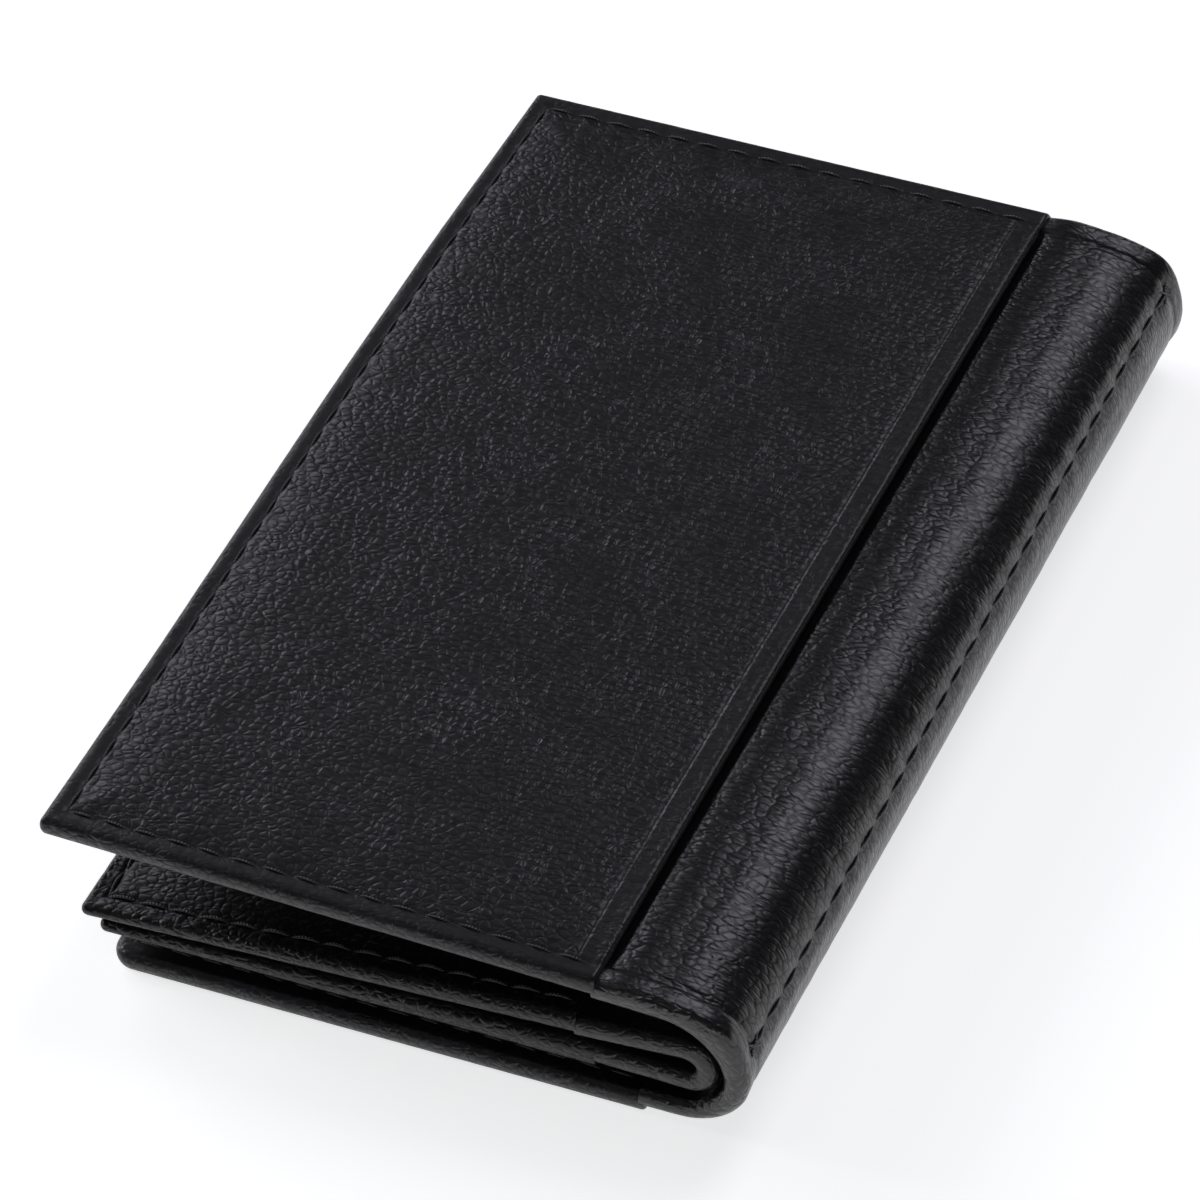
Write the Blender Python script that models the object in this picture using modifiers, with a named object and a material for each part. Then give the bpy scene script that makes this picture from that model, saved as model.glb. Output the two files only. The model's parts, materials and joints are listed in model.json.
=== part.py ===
"""Bifold leather wallet, closed.

A stitched leather shell (front cover, spine, back cover) holds a two-leaf booklet whose fold is sewn to
the spine.  Each cover carries a slip pocket outside, each leaf a slip pocket on both faces, and every
pocket opens towards the spine.

Frame: +X towards the spine, +Y along the spine, +Z up, origin under the middle of the closed wallet on
the plane it rests on.  Everything is described in the XZ section and extruded along Y.
"""

import math

import bmesh
import bpy
from mathutils import Matrix, Vector

MM = 0.001

# Overall
LENGTH = 110.0 * MM                # along the spine
HALF = LENGTH / 2
GAP = 0.1 * MM                     # clearance between layers that lie on each other

# Shell: one leather surface that runs back cover - spine - front cover
SPINE_RADIUS = 7.7 * MM            # outer face of the spine
SHELL_LEATHER = 0.6 * MM
STIFFENER = 0.3 * MM
LINING = 0.5 * MM
POCKET_LEATHER = 0.5 * MM
POCKET_STEP = POCKET_LEATHER + GAP  # how far a slip pocket stands proud of the shell leather
LINING_DEPTH = SHELL_LEATHER + GAP + STIFFENER + GAP
SHELL_DEPTH = LINING_DEPTH + LINING  # shell surface to the inner face of a cover
FRONT_TILT = 2.2                   # degrees the front cover rises towards its free edge
FRONT_SEAM_RUN = 6.55 * MM         # from the end of the spine's arc to the open edge of the pocket
FRONT_PANEL = 57.5 * MM            # width of the front slip pocket
BACK_SEAM_RUN = 3.35 * MM
BACK_PANEL = 56.4 * MM
HEM = 2.6 * MM                     # width of the turned edge, solid leather
HEM_ROUND = 0.35 * MM

# Where the spine bends, as angles about its centre (0 = +X, 90 = up)
REAR_EDGE, REAR_BEND_END, STITCH_ANGLE = -90.0, -35.0, 20.0
FRONT_EDGE = 90.0 - FRONT_TILT
REAR_BEND = (REAR_EDGE + REAR_BEND_END) / 2
MID_BEND = (REAR_BEND_END + STITCH_ANGLE) / 2
FRONT_BEND = (STITCH_ANGLE + FRONT_EDGE) / 2
BEND_RADIUS = SPINE_RADIUS + 0.05 * MM  # the joints' axes lie on the spine's outer face
BEND_SLIT = 0.6                    # degrees left free on each side of a bend
ARC_STEP = 7.0                     # degrees per facet

# Booklet
FOLD_RADIUS = 3.3 * MM
FOLD_LEATHER = 0.9 * MM
FOLD_GAP = 0.2 * MM
FOLD_LINING = 0.9 * MM
FOLD_OFFSET = Vector((1.35, -0.8)) * MM  # fold centre from the spine's centre
LEAF_HALF = HALF - 0.4 * MM
LEAF_SLIT = 0.15 * MM              # between a leaf and the fold
LEAF_BEND_RADIUS = FOLD_RADIUS + 0.05 * MM

# Thread
THREAD_RADIUS = 0.2 * MM
STITCH_INSET = 1.9 * MM            # stitch line to edge
GROOVE_WIDTH = 0.7 * MM
GROOVE_DEPTH = 0.55 * MM
BAR_TACK = 2.2 * MM                # distance of the spine's stitch ends from the edge

# Centre of the spine's arc: the closed wallet is centred on X = 0 and rests on its back pocket at Z = 0
FRONT_EDGE_RUN = FRONT_SEAM_RUN + FRONT_PANEL
BACK_EDGE_RUN = BACK_SEAM_RUN + BACK_PANEL
FREE_EDGE_X = (
    (SPINE_RADIUS - SHELL_DEPTH) * math.cos(math.radians(FRONT_EDGE))
    - FRONT_EDGE_RUN * math.sin(math.radians(FRONT_EDGE))
)
SPINE = Vector((-(FREE_EDGE_X + SPINE_RADIUS) / 2, SPINE_RADIUS + POCKET_STEP))
FOLD = SPINE + FOLD_OFFSET


def leaf_levels(bottom, layers, gap):
    """Heights of the faces of stacked layers, from the bottom up: (low, high) for each layer."""
    levels = []
    for thickness in layers:
        levels.append((bottom, bottom + thickness))
        bottom += thickness + gap
    return levels


# Each leaf tapers from its step near the fold to its free edge.  Layers, bottom up, are
# pocket, leather or lining, lining or leather, pocket.
FRONT_LEAF_WIDTH = 63.2 * MM       # fold centre to free edge
FRONT_LEAF_STEP = 10.6 * MM        # fold centre to the pockets' open edges
FRONT_LEAF_FREE = leaf_levels(5.95 * MM, [0.32 * MM, 0.25 * MM, 0.25 * MM, 0.32 * MM], 0.1 * MM)
FRONT_LEAF_FOLD = leaf_levels(8.0 * MM, [0.45 * MM, 0.7 * MM, 0.7 * MM, 0.45 * MM], 0.1 * MM)
REAR_LEAF_WIDTH = 61.5 * MM
REAR_LEAF_STEP = 9.2 * MM
REAR_LEAF_FREE = leaf_levels(4.3 * MM, [0.32 * MM, 0.25 * MM, 0.25 * MM, 0.32 * MM], 0.1 * MM)
REAR_LEAF_FOLD = leaf_levels(3.85 * MM, [0.5 * MM, 0.9 * MM, 0.9 * MM, 0.5 * MM], 0.15 * MM)

BLACK_LEATHER = ((0.012, 0.012, 0.014, 1.0), 0.42)
BLACK_LINING = ((0.016, 0.016, 0.018, 1.0), 0.6)
BOARD = ((0.10, 0.10, 0.11, 1.0), 0.9)
BLACK_THREAD = ((0.010, 0.010, 0.012, 1.0), 0.35)


# ---------------------------------------------------------------- scene and materials

def clear_scene():
    for obj in list(bpy.data.objects):
        bpy.data.objects.remove(obj, do_unlink=True)


def new_collection(name):
    collection = bpy.data.collections.new(name)
    bpy.context.scene.collection.children.link(collection)
    return collection


def material(name, look):
    """A Principled material for one sub-part."""
    colour, roughness = look
    made = bpy.data.materials.new(name)
    made.use_nodes = True
    made.diffuse_color = colour
    surface = made.node_tree.nodes["Principled BSDF"]
    surface.inputs["Base Color"].default_value = colour
    surface.inputs["Roughness"].default_value = roughness
    surface.inputs["Metallic"].default_value = 0.0
    return made


# ---------------------------------------------------------------- section points (x, z)

def polar(centre, radius, degrees):
    angle = math.radians(degrees)
    return Vector((centre.x + radius * math.cos(angle), centre.y + radius * math.sin(angle)))


def arc(centre, radius, start, end):
    """Points of an arc between two angles in degrees, both ends included."""
    steps = max(1, math.ceil(abs(end - start) / ARC_STEP))
    return [polar(centre, radius, start + (end - start) * i / steps) for i in range(steps + 1)]


def on_front(run, depth):
    """A point of the front cover, run from the end of the spine's arc and depth below the shell's face."""
    along = Vector((-math.sin(math.radians(FRONT_EDGE)), math.cos(math.radians(FRONT_EDGE))))
    return polar(SPINE, SPINE_RADIUS - depth, FRONT_EDGE) + along * run


def on_back(run, depth):
    """A point of the back cover, measured in the same way."""
    return polar(SPINE, SPINE_RADIUS - depth, REAR_EDGE) + Vector((-run, 0.0))


def flat_outline(on_cover, run_a, run_b, depth_a, depth_b):
    return [on_cover(run_a, depth_a), on_cover(run_b, depth_a), on_cover(run_b, depth_b), on_cover(run_a, depth_b)]


def arc_outline(centre, outer, inner, start, end):
    return arc(centre, outer, start, end) + arc(centre, inner, end, start)


def front_shell_outline(depth_a, depth_b, run, start=FRONT_BEND + BEND_SLIT):
    """A layer of the front cover: the last of the spine's arc, then straight to the given run."""
    return (
        arc(SPINE, SPINE_RADIUS - depth_a, start, FRONT_EDGE)
        + [on_front(run, depth_a), on_front(run, depth_b)]
        + arc(SPINE, SPINE_RADIUS - depth_b, FRONT_EDGE, start)
    )


def back_shell_outline(depth_a, depth_b, run, end=REAR_BEND - BEND_SLIT):
    return (
        [on_back(run, depth_b), on_back(run, depth_a)]
        + arc(SPINE, SPINE_RADIUS - depth_a, REAR_EDGE, end)
        + arc(SPINE, SPINE_RADIUS - depth_b, end, REAR_EDGE)
    )


def leaf_outline(free_x, fold_x, free, fold, tail=None):
    """A tapering layer from the free edge to fold_x; tail adds the leg that runs on to the fold."""
    (free_low, free_high), (fold_low, fold_high) = free, fold
    low = [Vector((free_x, free_low)), Vector((fold_x, fold_low))]
    high = [Vector((fold_x, fold_high)), Vector((free_x, free_high))]
    return low + (tail or []) + high


# ---------------------------------------------------------------- solids

def extruded(name, outline, half_length, collection):
    """A closed mesh: the XZ outline filled and extruded along Y, symmetric about Y = 0."""
    curve = bpy.data.curves.new(name + "_outline", "CURVE")
    curve.dimensions = "2D"
    curve.fill_mode = "BOTH"
    curve.extrude = half_length
    spline = curve.splines.new("POLY")
    spline.points.add(len(outline) - 1)
    for point, corner in zip(spline.points, outline):
        point.co = (corner.x, corner.y, 0.0, 1.0)
    spline.use_cyclic_u = True
    guide = bpy.data.objects.new(name + "_guide", curve)
    guide.rotation_euler = (math.radians(90.0), 0.0, 0.0)
    collection.objects.link(guide)
    bpy.context.view_layer.update()
    graph = bpy.context.evaluated_depsgraph_get()
    mesh = bpy.data.meshes.new_from_object(guide.evaluated_get(graph))
    mesh.transform(guide.matrix_world)
    bpy.data.objects.remove(guide, do_unlink=True)
    weld(mesh)
    obj = bpy.data.objects.new(name, mesh)
    collection.objects.link(obj)
    return obj


def weld(mesh):
    """Joins the loose caps to the sides and turns every face outwards."""
    cage = bmesh.new()
    cage.from_mesh(mesh)
    bmesh.ops.remove_doubles(cage, verts=cage.verts, dist=0.001 * MM)
    bmesh.ops.recalc_face_normals(cage, faces=cage.faces)
    cage.to_mesh(mesh)
    cage.free()
    mesh.update()


def shade(obj):
    obj.data.shade_smooth()
    obj.data.set_sharp_from_angle(angle=math.radians(30.0))


def sheet(name, outline, half_length, look, body):
    """A named leather, lining or board layer that moves with a body."""
    obj = extruded(name, outline, half_length, PARTS)
    obj.data.materials.append(material(name, look))
    attach(obj, body)
    shade(obj)
    return obj


def attach(obj, body):
    obj.parent = body
    obj.matrix_parent_inverse = body.matrix_world.inverted()


def round_edges(obj, width):
    bevel = obj.modifiers.new("rounded_hem", "BEVEL")
    bevel.width = width
    bevel.segments = 2
    bevel.limit_method = "ANGLE"
    bevel.angle_limit = math.radians(60.0)


def boolean(obj, tool, operation):
    modifier = obj.modifiers.new(tool.name, "BOOLEAN")
    modifier.operation = operation
    modifier.object = tool
    modifier.solver = "EXACT"
    tool.hide_render = True
    tool.display_type = "WIRE"


def cutter(name, outline, y_low, y_high):
    """A hidden solid between two Y values, used to cut or to join."""
    tool = extruded(name, outline, (y_high - y_low) / 2, CUTTERS)
    tool.data.transform(Matrix.Translation((0.0, (y_high + y_low) / 2, 0.0)))
    return tool


def thread(name, points, body):
    """A run of thread through the given points."""
    curve = bpy.data.curves.new(name, "CURVE")
    curve.dimensions = "3D"
    curve.bevel_depth = THREAD_RADIUS
    curve.bevel_resolution = 1
    curve.use_fill_caps = True
    spline = curve.splines.new("POLY")
    spline.points.add(len(points) - 1)
    for point, place in zip(spline.points, points):
        point.co = (*place, 1.0)
    obj = bpy.data.objects.new(name, curve)
    PARTS.objects.link(obj)
    curve.materials.append(material(name, BLACK_THREAD))
    attach(obj, body)
    return obj


# ---------------------------------------------------------------- bodies

def pivot(name, place, parent=None):
    """An empty on a joint's axis, which runs along Y."""
    empty = bpy.data.objects.new(name, None)
    empty.empty_display_size = 5 * MM
    empty.location = (place.x, 0.0, place.y)
    PARTS.objects.link(empty)
    bpy.context.view_layer.update()
    if parent:
        attach(empty, parent)
        bpy.context.view_layer.update()
    return empty


def make_bodies():
    back = pivot("back_cover_body", Vector((0.0, 0.0)))
    rear = pivot("spine_rear_body", polar(SPINE, BEND_RADIUS, REAR_BEND), back)
    middle = pivot("spine_body", polar(SPINE, BEND_RADIUS, MID_BEND), rear)
    front = pivot("front_cover_body", polar(SPINE, BEND_RADIUS, FRONT_BEND), middle)
    rear_leaf = pivot("rear_leaf_body", polar(FOLD, LEAF_BEND_RADIUS, -90.0), middle)
    front_leaf = pivot("front_leaf_body", polar(FOLD, LEAF_BEND_RADIUS, 90.0), middle)
    return back, rear, middle, front, rear_leaf, front_leaf


# ---------------------------------------------------------------- covers

def slip_pocket(side, on_cover, seam, edge, body):
    """The outside panel: its leather is turned over three edges and its open edge faces the spine."""
    outline = flat_outline(on_cover, seam, edge, -POCKET_STEP, SHELL_DEPTH)
    panel = sheet(side + "_slip_pocket", outline, HALF, BLACK_LEATHER, body)
    round_edges(panel, HEM_ROUND)
    beyond = seam - 5 * MM
    inside = flat_outline(on_cover, beyond, edge - HEM, -GAP, SHELL_DEPTH + MM)
    boolean(panel, cutter(side + "_pocket_space", inside, -HALF + HEM, HALF - HEM), "DIFFERENCE")
    cut_groove(panel, side, on_cover, seam, edge)
    return panel


def cut_groove(panel, side, on_cover, seam, edge):
    """The sunk line that the stitches lie in, along both ends and the free edge."""
    low, high = -POCKET_STEP - MM, -POCKET_STEP + GROOVE_DEPTH
    far = HALF - STITCH_INSET
    inner = edge - STITCH_INSET
    ends = flat_outline(on_cover, seam - MM, inner + GROOVE_WIDTH / 2, low, high)
    free = flat_outline(on_cover, inner - GROOVE_WIDTH / 2, inner + GROOVE_WIDTH / 2, low, high)
    near_cut = cutter(side + "_groove_near", ends, -far - GROOVE_WIDTH / 2, -far + GROOVE_WIDTH / 2)
    far_cut = cutter(side + "_groove_far", ends, far - GROOVE_WIDTH / 2, far + GROOVE_WIDTH / 2)
    free_cut = cutter(side + "_groove_free", free, -far, far)
    for tool in (near_cut, far_cut, free_cut):
        boolean(panel, tool, "DIFFERENCE")


def shell_leather(side, shell_outline, on_cover, seam, edge, body):
    """Shell leather of one cover: hemmed from the spine to the seam, then a flat tongue under the pocket."""
    outline = shell_outline(0.0, SHELL_DEPTH, edge - HEM - GAP)
    leather = sheet(side + "_shell_leather", outline, HALF, BLACK_LEATHER, body)
    beside = flat_outline(on_cover, seam - GAP, edge + MM, -MM, SHELL_DEPTH + MM)
    half = HALF - HEM - GAP
    boolean(leather, cutter(side + "_tongue_near", beside, -HALF - MM, -half), "DIFFERENCE")
    boolean(leather, cutter(side + "_tongue_far", beside, half, HALF + MM), "DIFFERENCE")
    space = shell_outline(SHELL_LEATHER, SHELL_DEPTH + MM, edge + MM, PAST_BEND[side])
    boolean(leather, cutter(side + "_shell_space", space, -HALF + HEM, HALF - HEM), "DIFFERENCE")


# Angles just past each cover's bend, so that a cutter runs out of the leather there
PAST_BEND = {"front": FRONT_BEND - 5.0, "back": REAR_BEND + 5.0}


def cover(side, shell_outline, on_cover, seam, edge, body):
    """Every layer of one cover."""
    slip_pocket(side, on_cover, seam, edge, body)
    shell_leather(side, shell_outline, on_cover, seam, edge, body)
    half = HALF - HEM - GAP
    board_depth = SHELL_LEATHER + GAP
    board = flat_outline(on_cover, 0.5 * MM, edge - HEM - GAP, board_depth, board_depth + STIFFENER)
    sheet(side + "_stiffener", board, half - GAP, BOARD, body)
    lining = shell_outline(LINING_DEPTH, SHELL_DEPTH, edge - HEM - GAP)
    sheet(side + "_lining", lining, half, BLACK_LINING, body)
    depth = -POCKET_STEP + GROOVE_DEPTH / 2
    far = HALF - STITCH_INSET
    inner = edge - STITCH_INSET
    path = [(seam + MM, -far), (inner, -far), (inner, far), (seam + MM, far)]
    points = []
    for run, y in path:
        place = on_cover(run, depth)
        points.append((place.x, y, place.y))
    thread(side + "_stitching", points, body)


# ---------------------------------------------------------------- spine

def spine_strip(name, start, end, body):
    """A strip of the spine: leather with turned ends, and the lining inside it."""
    start += BEND_SLIT
    end -= BEND_SLIT
    outline = arc_outline(SPINE, SPINE_RADIUS, SPINE_RADIUS - SHELL_DEPTH, start, end)
    leather = sheet("spine_" + name + "_leather", outline, HALF, BLACK_LEATHER, body)
    space = arc_outline(
        SPINE, SPINE_RADIUS - SHELL_LEATHER, SPINE_RADIUS - SHELL_DEPTH - MM, start - 5.0, end + 5.0
    )
    boolean(leather, cutter(name + "_strip_space", space, -HALF + HEM, HALF - HEM), "DIFFERENCE")
    lining = arc_outline(
        SPINE, SPINE_RADIUS - LINING_DEPTH, SPINE_RADIUS - SHELL_DEPTH, start, end
    )
    sheet("spine_" + name + "_lining", lining, HALF - HEM - GAP, BLACK_LINING, body)
    return leather


def spine_stitching(leather, body):
    """The seam that holds the booklet to the spine, sunk in a groove along the whole spine."""
    half = HALF - BAR_TACK
    half_width = math.degrees(GROOVE_WIDTH / 2 / SPINE_RADIUS)
    groove = [
        polar(SPINE, SPINE_RADIUS + MM, STITCH_ANGLE - half_width),
        polar(SPINE, SPINE_RADIUS + MM, STITCH_ANGLE + half_width),
        polar(SPINE, SPINE_RADIUS - GROOVE_DEPTH, STITCH_ANGLE + half_width),
        polar(SPINE, SPINE_RADIUS - GROOVE_DEPTH, STITCH_ANGLE - half_width),
    ]
    boolean(leather, cutter("spine_groove", groove, -half - MM, half + MM), "DIFFERENCE")
    place = polar(SPINE, SPINE_RADIUS - GROOVE_DEPTH / 2, STITCH_ANGLE)
    thread("spine_stitching", [(place.x, -half, place.y), (place.x, half, place.y)], body)


# ---------------------------------------------------------------- booklet

def booklet_fold(body):
    """The booklet's U-shaped fold: leather outside, lining inside."""
    inner = FOLD_RADIUS - FOLD_LEATHER
    leather = arc_outline(FOLD, FOLD_RADIUS, inner, -90.0, 90.0)
    sheet("booklet_fold_leather", leather, LEAF_HALF, BLACK_LEATHER, body)
    outer = inner - FOLD_GAP
    lining = arc_outline(FOLD, outer, outer - FOLD_LINING, -90.0, 90.0)
    sheet("booklet_fold_lining", lining, LEAF_HALF, BLACK_LINING, body)


def leaf_leg(sign, radius_a, radius_b):
    """The two corners where a leaf's layer meets the fold, lower one first."""
    x = FOLD.x - LEAF_SLIT
    heights = sorted((FOLD.y + sign * radius_a, FOLD.y + sign * radius_b))
    return [Vector((x, height)) for height in heights]


def leaf(side, sign, width, step, free, fold, body):
    """A leaf: leather and lining that run into the fold, and a pocket on each face."""
    free_x, step_x = FOLD.x - width, FOLD.x - step
    inner = FOLD_RADIUS - FOLD_LEATHER
    leather_leg = leaf_leg(sign, FOLD_RADIUS, inner)
    lining_leg = leaf_leg(sign, inner - FOLD_GAP, inner - FOLD_GAP - FOLD_LINING)
    # Bottom up: on the front leaf the leather is the upper of the two middle layers.
    leather_layer, lining_layer = (2, 1) if sign > 0 else (1, 2)
    outer_layer, inner_layer = (3, 0) if sign > 0 else (0, 3)
    leather = leaf_outline(free_x, step_x, free[leather_layer], fold[leather_layer], leather_leg)
    sheet(side + "_leaf_leather", leather, LEAF_HALF, BLACK_LEATHER, body)
    lining = leaf_outline(free_x, step_x, free[lining_layer], fold[lining_layer], lining_leg)
    sheet(side + "_leaf_lining", lining, LEAF_HALF, BLACK_LINING, body)
    outer = leaf_outline(free_x, step_x, free[outer_layer], fold[outer_layer])
    sheet(side + "_leaf_outer_pocket", outer, LEAF_HALF, BLACK_LEATHER, body)
    inner_pocket = leaf_outline(free_x, step_x, free[inner_layer], fold[inner_layer])
    sheet(side + "_leaf_inner_pocket", inner_pocket, LEAF_HALF, BLACK_LEATHER, body)
    leaf_stitching(side, sign, free_x, step_x, free[outer_layer], fold[outer_layer], body)


def leaf_stitching(side, sign, free_x, step_x, free, fold, body):
    """Thread round three edges, lying on the leaf's outer face."""
    face = 1 if sign > 0 else 0
    lift = sign * (THREAD_RADIUS + 0.05 * MM)
    far = LEAF_HALF - STITCH_INSET

    def height(x):
        share = (x - free_x) / (step_x - free_x)
        return free[face] + (fold[face] - free[face]) * share + lift

    near_x, far_x = step_x - MM, free_x + STITCH_INSET
    path = [(near_x, -far), (far_x, -far), (far_x, far), (near_x, far)]
    thread(side + "_leaf_stitching", [(x, y, height(x)) for x, y in path], body)


# ---------------------------------------------------------------- build

clear_scene()
PARTS = new_collection("bifold_wallet")
CUTTERS = new_collection("cutters")
BACK, REAR, MIDDLE, FRONT, REAR_LEAF, FRONT_LEAF = make_bodies()

cover("back", back_shell_outline, on_back, BACK_SEAM_RUN, BACK_EDGE_RUN, BACK)
cover("front", front_shell_outline, on_front, FRONT_SEAM_RUN, FRONT_EDGE_RUN, FRONT)
spine_strip("lower", REAR_BEND, MID_BEND, REAR)
upper_strip = spine_strip("upper", MID_BEND, FRONT_BEND, MIDDLE)
spine_stitching(upper_strip, MIDDLE)
booklet_fold(MIDDLE)
leaf("front", 1, FRONT_LEAF_WIDTH, FRONT_LEAF_STEP, FRONT_LEAF_FREE, FRONT_LEAF_FOLD, FRONT_LEAF)
leaf("rear", -1, REAR_LEAF_WIDTH, REAR_LEAF_STEP, REAR_LEAF_FREE, REAR_LEAF_FOLD, REAR_LEAF)
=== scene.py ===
"""Looks of a closed bifold leather wallet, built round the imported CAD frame.

Every leather and lining piece is a closed sheet with relief and every stitch a short tube, and they lie
where their CAD solids lie.  Sheets are described by a distance s along a line in the XZ section, the place y
along the wallet and a height h over the section line.  Across a pocket or a leaf, e and f are the distances
to its free edge and to its nearer end, d is the depth inside its outline and a the distance from its open
edge.  Lengths are in millimetres until a mesh is made.
"""

import json
import math

import bpy
import numpy as np
from mathutils import Matrix, Vector


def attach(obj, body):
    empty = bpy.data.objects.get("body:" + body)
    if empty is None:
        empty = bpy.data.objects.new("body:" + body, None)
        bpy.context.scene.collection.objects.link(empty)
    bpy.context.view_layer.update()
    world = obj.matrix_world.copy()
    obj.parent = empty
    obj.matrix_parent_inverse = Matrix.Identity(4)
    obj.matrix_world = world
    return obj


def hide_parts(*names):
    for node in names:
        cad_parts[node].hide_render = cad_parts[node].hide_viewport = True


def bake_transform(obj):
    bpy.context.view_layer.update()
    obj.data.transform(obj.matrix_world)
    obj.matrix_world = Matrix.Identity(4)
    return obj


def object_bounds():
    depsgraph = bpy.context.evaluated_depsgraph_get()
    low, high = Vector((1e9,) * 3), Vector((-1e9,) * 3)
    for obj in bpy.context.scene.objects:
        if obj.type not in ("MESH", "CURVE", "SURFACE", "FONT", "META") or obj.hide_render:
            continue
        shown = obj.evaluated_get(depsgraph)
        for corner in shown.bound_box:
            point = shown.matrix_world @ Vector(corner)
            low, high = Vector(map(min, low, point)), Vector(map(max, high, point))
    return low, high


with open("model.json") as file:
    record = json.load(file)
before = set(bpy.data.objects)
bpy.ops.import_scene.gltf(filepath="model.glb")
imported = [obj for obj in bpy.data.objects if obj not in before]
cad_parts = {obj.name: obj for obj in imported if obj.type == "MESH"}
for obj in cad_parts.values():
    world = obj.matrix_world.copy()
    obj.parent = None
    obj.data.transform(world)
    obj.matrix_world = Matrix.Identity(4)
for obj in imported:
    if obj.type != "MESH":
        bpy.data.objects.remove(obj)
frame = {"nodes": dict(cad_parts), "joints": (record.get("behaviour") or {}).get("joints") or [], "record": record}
CAD_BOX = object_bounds()
MM = 0.001


# ---- the frame, in mm

def node_mm(name):
    """Vertices of a CAD node as an array of (x, y, z)."""
    mesh = frame["nodes"][name].data
    flat = np.zeros(len(mesh.vertices) * 3)
    mesh.vertices.foreach_get("co", flat)
    return flat.reshape(-1, 3) / MM


def joint_mm(name):
    """Where a joint's axis crosses the XZ section."""
    place = next(j for j in frame["joints"] if j["name"] == name)["pos_m"]
    return np.array([place[0], place[2]]) / MM


def circle_through(a, b, c):
    """Centre and radius of the circle through three points."""
    rows = np.array([b - a, c - a]) * 2
    centre = np.linalg.solve(rows, np.array([b @ b - a @ a, c @ c - a @ a]))
    return centre, float(np.linalg.norm(a - centre))


BEND_MARGIN = 0.05  # the bends' axes lie this far outside the leather
SPINE_BENDS = ("rear_spine_bend", "mid_spine_bend", "front_spine_bend")
SPINE, SPINE_R = circle_through(*(joint_mm(name) for name in SPINE_BENDS))
SPINE_R -= BEND_MARGIN
FOLD = (joint_mm("rear_leaf_turn") + joint_mm("front_leaf_turn")) / 2
FOLD_R = float(np.linalg.norm(joint_mm("rear_leaf_turn") - FOLD)) - BEND_MARGIN
FRONT_AXIS = next(m for m in frame["record"]["mounts"] if m["name"] == "front_face")["axis"]
FRONT_ANGLE = math.atan2(FRONT_AXIS[2], FRONT_AXIS[0])
REAR_ANGLE = math.radians(-90.0)
STITCH_ANGLE = math.radians(20.0)  # the spine's seam on its arc
LOWER_ANGLE = math.radians(-35.0)  # where the spine's lower part ends on its arc
HALF = CAD_BOX[1].y / MM  # half the wallet's length
PITCH = 3.4  # one stitch
SEAM_PITCH = 3.6  # one stitch of the spine's seam
INSET = 2.2  # stitch line to edge
HEM = 2.6  # width of the covers' turned hems
LEAF_HEM = 2.4  # width of the leaves' turned hems
POCKET = 0.6  # a pocket's face over the shell's face
COVER = 1.6  # shell's face to the inside of a cover
COVER_ROLL = 1.08  # radius of a cover's rolled edge
SHELL_ROLL = 1.05  # radius of the shell's rolled ends
FOLD_ROLL = 1.1  # radius of the booklet's rolled ends
FOLD_HEM_DEPTH = 2.35  # thickness of the booklet's turned ends at the fold
GRID = 0.36  # spacing of the grid on the shell and its pockets
LEAF_GRID = 0.4  # spacing of the grid on the leaves' pockets
SHARP = math.radians(55.0)  # edges that turn by more than this stay sharp


def polar(centre, radius, angle):
    return centre + radius * np.array([math.cos(angle), math.sin(angle)])


class Path:
    """A line in the XZ section: place and outward normal at a distance s along it."""

    REACH = 6.0  # the line runs on straight by this much at both ends

    def __init__(self, points, start, side):
        points = np.array(points)
        first, last = points[0] - points[1], points[-1] - points[-2]
        points = np.vstack([
            points[0] + first / np.linalg.norm(first) * self.REACH, points,
            points[-1] + last / np.linalg.norm(last) * self.REACH,
        ])
        steps = np.hypot(*np.diff(points, axis=0).T)
        self.s = np.concatenate([[0], np.cumsum(steps)]) - self.REACH + start
        self.points = points
        along = np.gradient(points, self.s, axis=0)
        along /= np.linalg.norm(along, axis=1)[:, None]
        self.normals = np.stack([along[:, 1], -along[:, 0]], 1) * side

    def at(self, s, h):
        """(x, z) at distance s and height h."""
        x, z, nx, nz = (np.interp(s, self.s, column) for column in (*self.points.T, *self.normals.T))
        size = np.hypot(nx, nz)
        return x + nx / size * h, z + nz / size * h


def arc_points(centre, radius, start, end, count=64):
    """Points on an arc from one angle to another."""
    return [polar(centre, radius, a) for a in np.linspace(start, end, count)]


# Shell: back cover, spine, front cover.  s = 0 where the spine's arc meets the front cover.
ARC = SPINE_R * (FRONT_ANGLE - REAR_ANGLE)
FRONT_ALONG = np.array([-math.sin(FRONT_ANGLE), math.cos(FRONT_ANGLE)])


def run_of(node, along, origin):
    """How far a node reaches along a cover from the end of the spine's arc."""
    runs = (node_mm(node)[:, [0, 2]] - origin) @ along
    return float(runs.min()), float(runs.max())


FRONT_SEAM, FRONT_EDGE = run_of("front_slip_pocket", FRONT_ALONG, SPINE)
BACK_SEAM, BACK_EDGE = run_of("back_slip_pocket", np.array([-1.0, 0.0]), SPINE)
SHELL = Path(
    [polar(SPINE, SPINE_R, REAR_ANGLE) + np.array([-BACK_EDGE, 0.0])]
    + arc_points(SPINE, SPINE_R, REAR_ANGLE, FRONT_ANGLE)
    + [polar(SPINE, SPINE_R, FRONT_ANGLE) + FRONT_ALONG * FRONT_EDGE],
    -ARC - BACK_EDGE, 1,
)


def spine_s(angle):
    """Distance along the shell of an angle on the spine's arc."""
    return (angle - FRONT_ANGLE) * SPINE_R


# ---- smooth noise

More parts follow.
